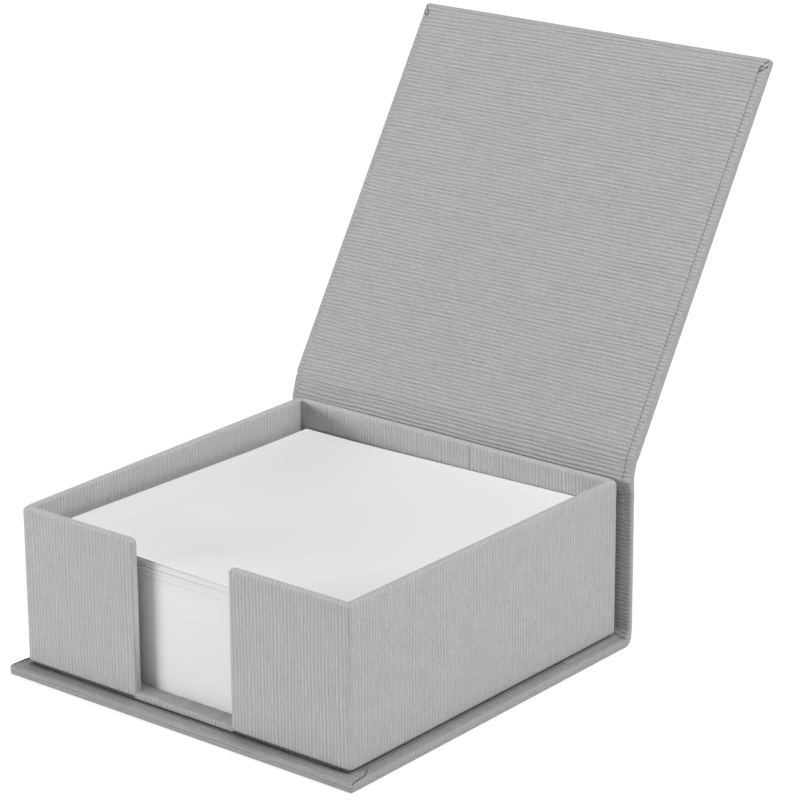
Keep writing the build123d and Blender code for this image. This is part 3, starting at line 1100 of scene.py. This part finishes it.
# Solids that show as they are
for node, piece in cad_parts.items():
    if not piece.hide_render:
        piece.data.materials.clear()
        piece.data.materials.append(greyboard if node.endswith("board") else upright_ribbed)


# Floor, light and camera

FLOOR_HALF = 3.0                # in metres
FLOOR_TONE = 0.9
FLOOR_ROUGH = 0.9
FLOOR_WHITE = 0.85              # the floor as it is seen: this much white, and the rest by light
FLOOR_SHADED = 0.22


def make_floor():
    mesh = bpy.data.meshes.new("floor")
    far = FLOOR_HALF
    corners = [(-far, -far, 0), (far, -far, 0), (far, far, 0), (-far, far, 0)]
    mesh.from_pydata(corners, [], [(0, 1, 2, 3)])
    floor = bpy.data.objects.new("floor", mesh)
    bpy.context.scene.collection.objects.link(floor)
    material, nodes, links, shader = new_material("floor")
    shader.inputs["Base Color"].default_value = (FLOOR_TONE, FLOOR_TONE, FLOOR_TONE, 1)
    shader.inputs["Roughness"].default_value = FLOOR_ROUGH
    seen = nodes.new("ShaderNodeEmission")
    seen.inputs["Strength"].default_value = FLOOR_WHITE
    pale = nodes.new("ShaderNodeBsdfDiffuse")
    pale.inputs["Color"].default_value = (FLOOR_SHADED, FLOOR_SHADED, FLOOR_SHADED, 1)
    white = nodes.new("ShaderNodeAddShader")
    links.new(seen.outputs[0], white.inputs[0])
    links.new(pale.outputs[0], white.inputs[1])
    mix = nodes.new("ShaderNodeMixShader")
    links.new(seen_directly(nodes, links), mix.inputs["Fac"])
    links.new(shader.outputs[0], mix.inputs[1])
    links.new(white.outputs[0], mix.inputs[2])
    links.new(mix.outputs[0], nodes["Material Output"].inputs["Surface"])
    mesh.materials.append(material)


def seen_directly(nodes, links):
    """1 for rays from the camera, a mirror or glass, which see plain white."""
    path = nodes.new("ShaderNodeLightPath")
    total = path.outputs["Is Camera Ray"]
    for name in ("Is Glossy Ray", "Is Transmission Ray"):
        node = nodes.new("ShaderNodeMath")
        node.operation = "MAXIMUM"
        links.new(total, node.inputs[0])
        links.new(path.outputs[name], node.inputs[1])
        total = node.outputs[0]
    return total


WORLD_LIGHT = 0.03


def make_world():
    world = bpy.data.worlds.new("studio")
    bpy.context.scene.world = world
    world.use_nodes = True
    nodes, links = world.node_tree.nodes, world.node_tree.links
    light = nodes["Background"]
    light.inputs["Color"].default_value = (1, 1, 1, 1)
    light.inputs["Strength"].default_value = WORLD_LIGHT
    white = nodes.new("ShaderNodeBackground")
    white.inputs["Color"].default_value = (1, 1, 1, 1)
    white.inputs["Strength"].default_value = 1.0
    mix = nodes.new("ShaderNodeMixShader")
    links.new(seen_directly(nodes, links), mix.inputs["Fac"])
    links.new(light.outputs[0], mix.inputs[1])
    links.new(white.outputs[0], mix.inputs[2])
    links.new(mix.outputs[0], nodes["World Output"].inputs["Surface"])


LAMP_DISTANCE = 1.2             # in metres
LAMP_AIM = Vector((0, 10 * MM, 40 * MM))
# Name: degrees to the right of the front, degrees up, width, height, power
LAMPS = {
    "above": (180, 87, 0.4, 0.4, 5.9),
    "left": (-36, 7.5, 0.6, 0.18, 8.7),
    "right": (91, 40, 0.25, 0.3, 8.6),
    "back": (200, 20, 0.6, 0.6, 5.6),
}


def make_lamps():
    for name, (azimuth, elevation, width, height, power) in LAMPS.items():
        lamp = bpy.data.lights.new(name, "AREA")
        lamp.shape = "RECTANGLE"
        lamp.size = width
        lamp.size_y = height
        lamp.energy = power
        piece = bpy.data.objects.new(name, lamp)
        a, e = radians(azimuth), radians(elevation)
        towards = Vector((sin(a) * cos(e), -cos(a) * cos(e), sin(e)))
        piece.location = LAMP_AIM + LAMP_DISTANCE * towards
        piece.rotation_mode = "QUATERNION"
        piece.rotation_quaternion = (-towards).to_track_quat("-Z", "Y")
        bpy.context.scene.collection.objects.link(piece)


# The camera stands where the photograph was taken from
CAMERA_AZIMUTH = radians(39.174)
CAMERA_ELEVATION = radians(18.934)
CAMERA_ROLL = radians(-0.356)
CAMERA_DISTANCE = 766.97 * MM
CAMERA_AIM = Vector((0, 0, 30 * MM))
CAMERA_RIGHT = 17.94 * MM       # the aim lies this far left of the picture's middle
CAMERA_UP = 32.05 * MM          # and this far below it
FOCAL_PIXELS = 3339.1
PICTURE_PIXELS = 800
SENSOR = 36.0                   # in millimetres, as the camera counts


def make_camera():
    a, e = CAMERA_AZIMUTH, CAMERA_ELEVATION
    back = Vector((sin(a) * cos(e), -cos(a) * cos(e), sin(e)))
    right = Vector((cos(a), sin(a), 0))
    up = back.cross(right)
    c, s = cos(CAMERA_ROLL), sin(CAMERA_ROLL)
    right, up = c * right + s * up, c * up - s * right
    camera = bpy.data.cameras.new("camera")
    camera.sensor_width = SENSOR
    camera.lens = FOCAL_PIXELS * SENSOR / PICTURE_PIXELS
    piece = bpy.data.objects.new("camera", camera)
    turned = Matrix((right, up, back)).transposed().to_4x4()
    at = CAMERA_AIM + back * CAMERA_DISTANCE + right * CAMERA_RIGHT + up * CAMERA_UP
    piece.matrix_world = Matrix.Translation(at) @ turned
    bpy.context.scene.collection.objects.link(piece)
    bpy.context.scene.camera = piece


make_floor()
make_world()
make_lamps()
make_camera()
bpy.context.scene.view_settings.view_transform = "Standard"
